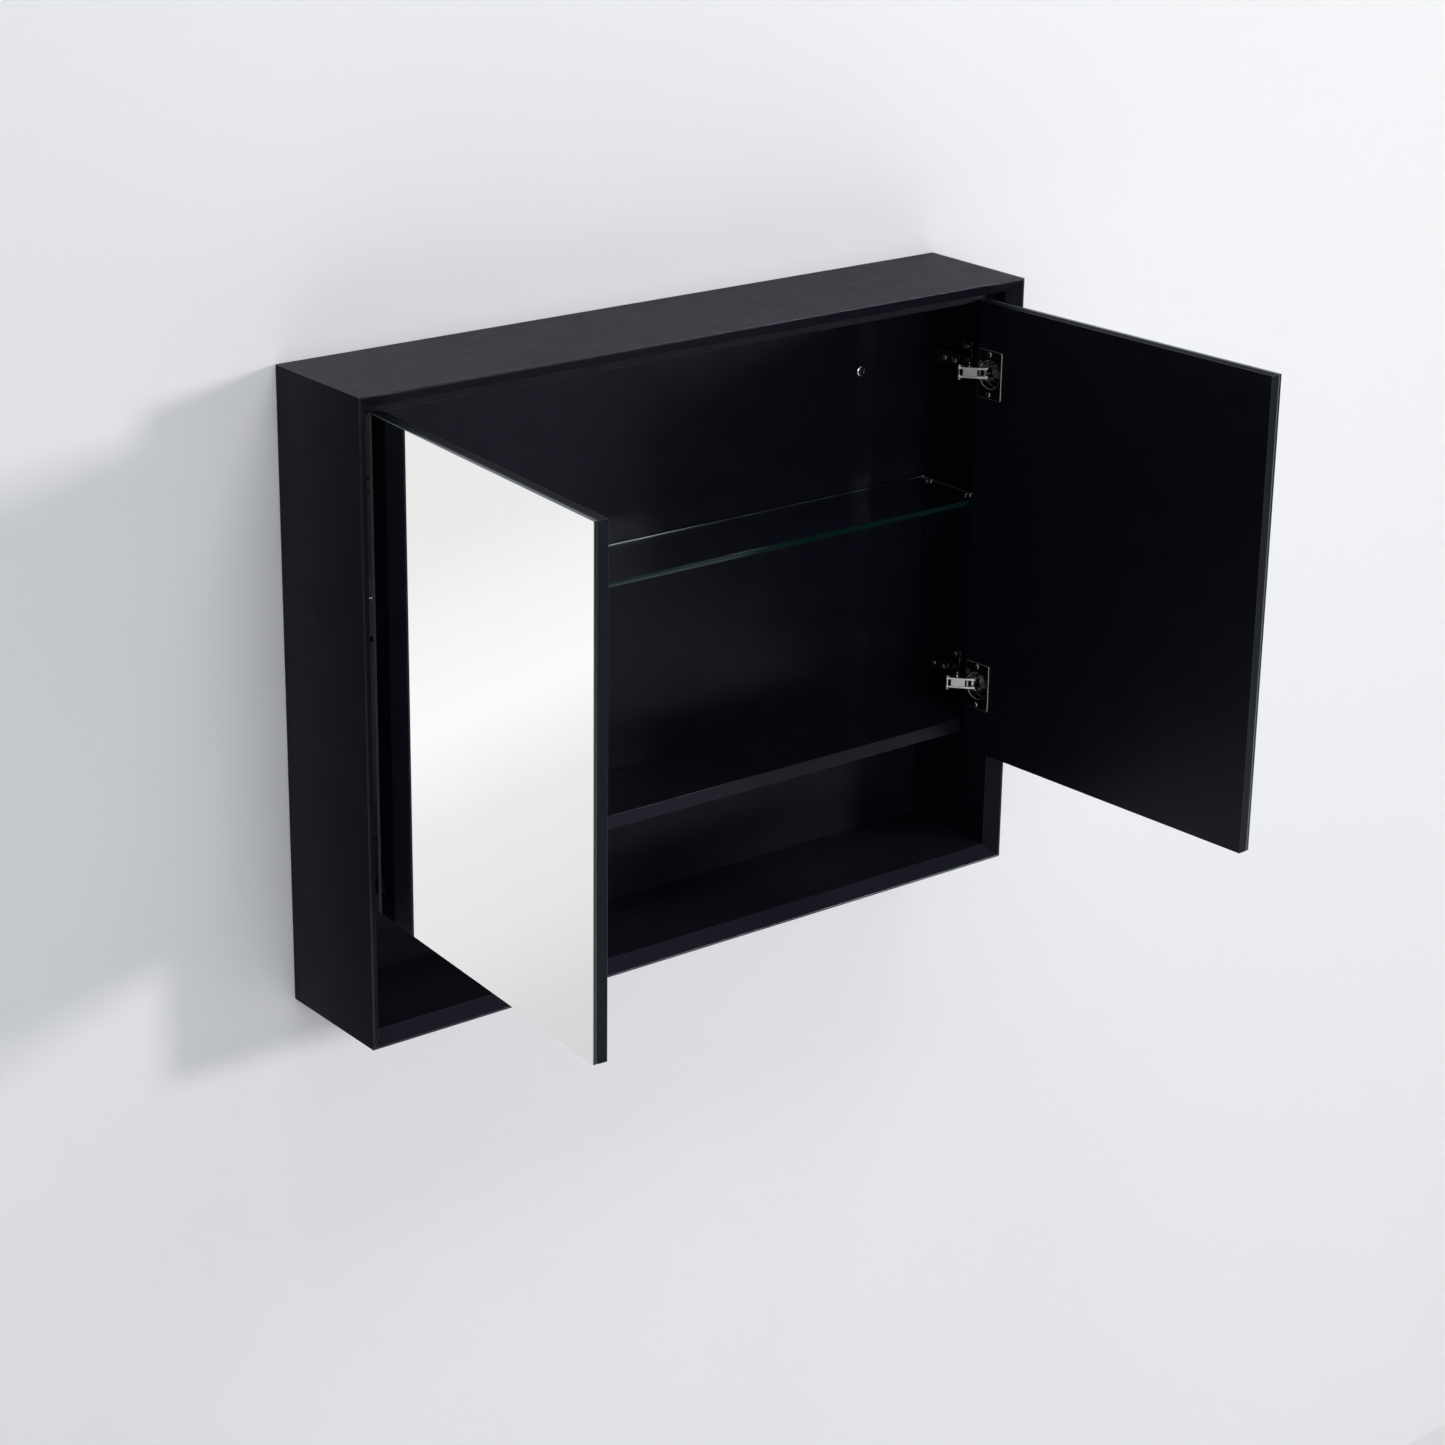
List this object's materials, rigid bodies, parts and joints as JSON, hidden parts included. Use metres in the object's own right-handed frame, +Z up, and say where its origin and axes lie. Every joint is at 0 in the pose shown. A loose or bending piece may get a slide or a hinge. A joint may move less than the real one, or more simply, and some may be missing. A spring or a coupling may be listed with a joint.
{
  "type": "mirror cabinet",
  "caption": "Black wall-hung bathroom mirror cabinet with bevelled frame, two mirror doors on concealed cup hinges, glass shelf, fixed shelf and open niche below.",
  "frame": {"origin": "middle of the cabinet's back face, on the wall plane", "axes": "+X to the right seen from the front, +Y into the wall, +Z up"},
  "size_m": [0.904, 0.5631, 0.72],
  "materials": {
    "black_board": "matte black lacquer on fibreboard",
    "beech": "plain turned beech",
    "mirror_silver": "silvered glass, polished edge",
    "foam_tape": "black foam mounting tape",
    "clear_glass": "clear float glass, polished green edge",
    "nickel_steel": "bright nickel-plated steel",
    "spring_steel": "rolled spring steel"
  },
  "bodies": {
    "carcass": {"top_panel": "black_board", "bottom_panel": "black_board", "left_side_panel": "black_board", "right_side_panel": "black_board", "back_panel": "black_board", "stop_rail": "black_board", "fixed_shelf": "black_board", "glass_shelf": "clear_glass", "shelf_pins": "nickel_steel", "corner_splines": "beech", "shelf_dowels": "beech", "back_dowels": "beech", "rail_dowels": "beech", "fixing_washers": "nickel_steel", "left_mounting_plates": "nickel_steel", "left_plate_screws": "nickel_steel", "left_hinge_arms": "nickel_steel", "left_arm_screws": "nickel_steel", "left_arm_rivets": "nickel_steel", "right_mounting_plates": "nickel_steel", "right_plate_screws": "nickel_steel", "right_hinge_arms": "nickel_steel", "right_arm_screws": "nickel_steel", "right_arm_rivets": "nickel_steel"},
    "left_inner_link": {"left_inner_links": "nickel_steel"},
    "left_outer_link": {"left_outer_links": "nickel_steel"},
    "left_door": {"left_mirror_glass": "mirror_silver", "left_mirror_tape": "foam_tape", "left_door_board": "black_board", "left_hinge_cups": "nickel_steel", "left_cup_screws": "nickel_steel", "left_cup_rivets": "nickel_steel", "left_cup_springs": "spring_steel"},
    "right_inner_link": {"right_inner_links": "nickel_steel"},
    "right_outer_link": {"right_outer_links": "nickel_steel"},
    "right_door": {"right_mirror_glass": "mirror_silver", "right_mirror_tape": "foam_tape", "right_door_board": "black_board", "right_hinge_cups": "nickel_steel", "right_cup_screws": "nickel_steel", "right_cup_rivets": "nickel_steel", "right_cup_springs": "spring_steel"}
  },
  "joints": [
    {"name": "left_inner_link_pivot", "type": "hinge", "parent": "carcass", "child": "left_inner_link", "pos_m": [-0.40431, -0.12106, 0.0595], "axis": [0, 0, 1], "range_deg": [-41, 2.8]},
    {"name": "left_door_swing", "type": "hinge", "parent": "left_inner_link", "child": "left_door", "pos_m": [-0.41066, -0.14231, 0.0595], "axis": [0, 0, -1], "range_deg": [-134.8, 8.6]},
    {"name": "left_outer_link_pivot", "type": "hinge", "parent": "carcass", "child": "left_outer_link", "pos_m": [-0.38731, -0.12286, 0.0595], "axis": [0, 0, 1], "range_deg": [-30.09, 2.11]},
    {"name": "right_inner_link_pivot", "type": "hinge", "parent": "carcass", "child": "right_inner_link", "pos_m": [0.40431, -0.12106, 0.0595], "axis": [0, 0, -1], "range_deg": [-41, 2.8]},
    {"name": "right_door_swing", "type": "hinge", "parent": "right_inner_link", "child": "right_door", "pos_m": [0.41066, -0.14231, 0.0595], "axis": [0, 0, 1], "range_deg": [-134.8, 8.6]},
    {"name": "right_outer_link_pivot", "type": "hinge", "parent": "carcass", "child": "right_outer_link", "pos_m": [0.38731, -0.12286, 0.0595], "axis": [0, 0, -1], "range_deg": [-30.09, 2.11]}
  ],
  "couplings": [
    {"joint": "left_inner_link_pivot", "follows": "left_door_swing", "ratio": 0.30267},
    {"joint": "left_outer_link_pivot", "follows": "left_door_swing", "ratio": 0.22175},
    {"joint": "right_inner_link_pivot", "follows": "right_door_swing", "ratio": 0.30267},
    {"joint": "right_outer_link_pivot", "follows": "right_door_swing", "ratio": 0.22175}
  ]
}
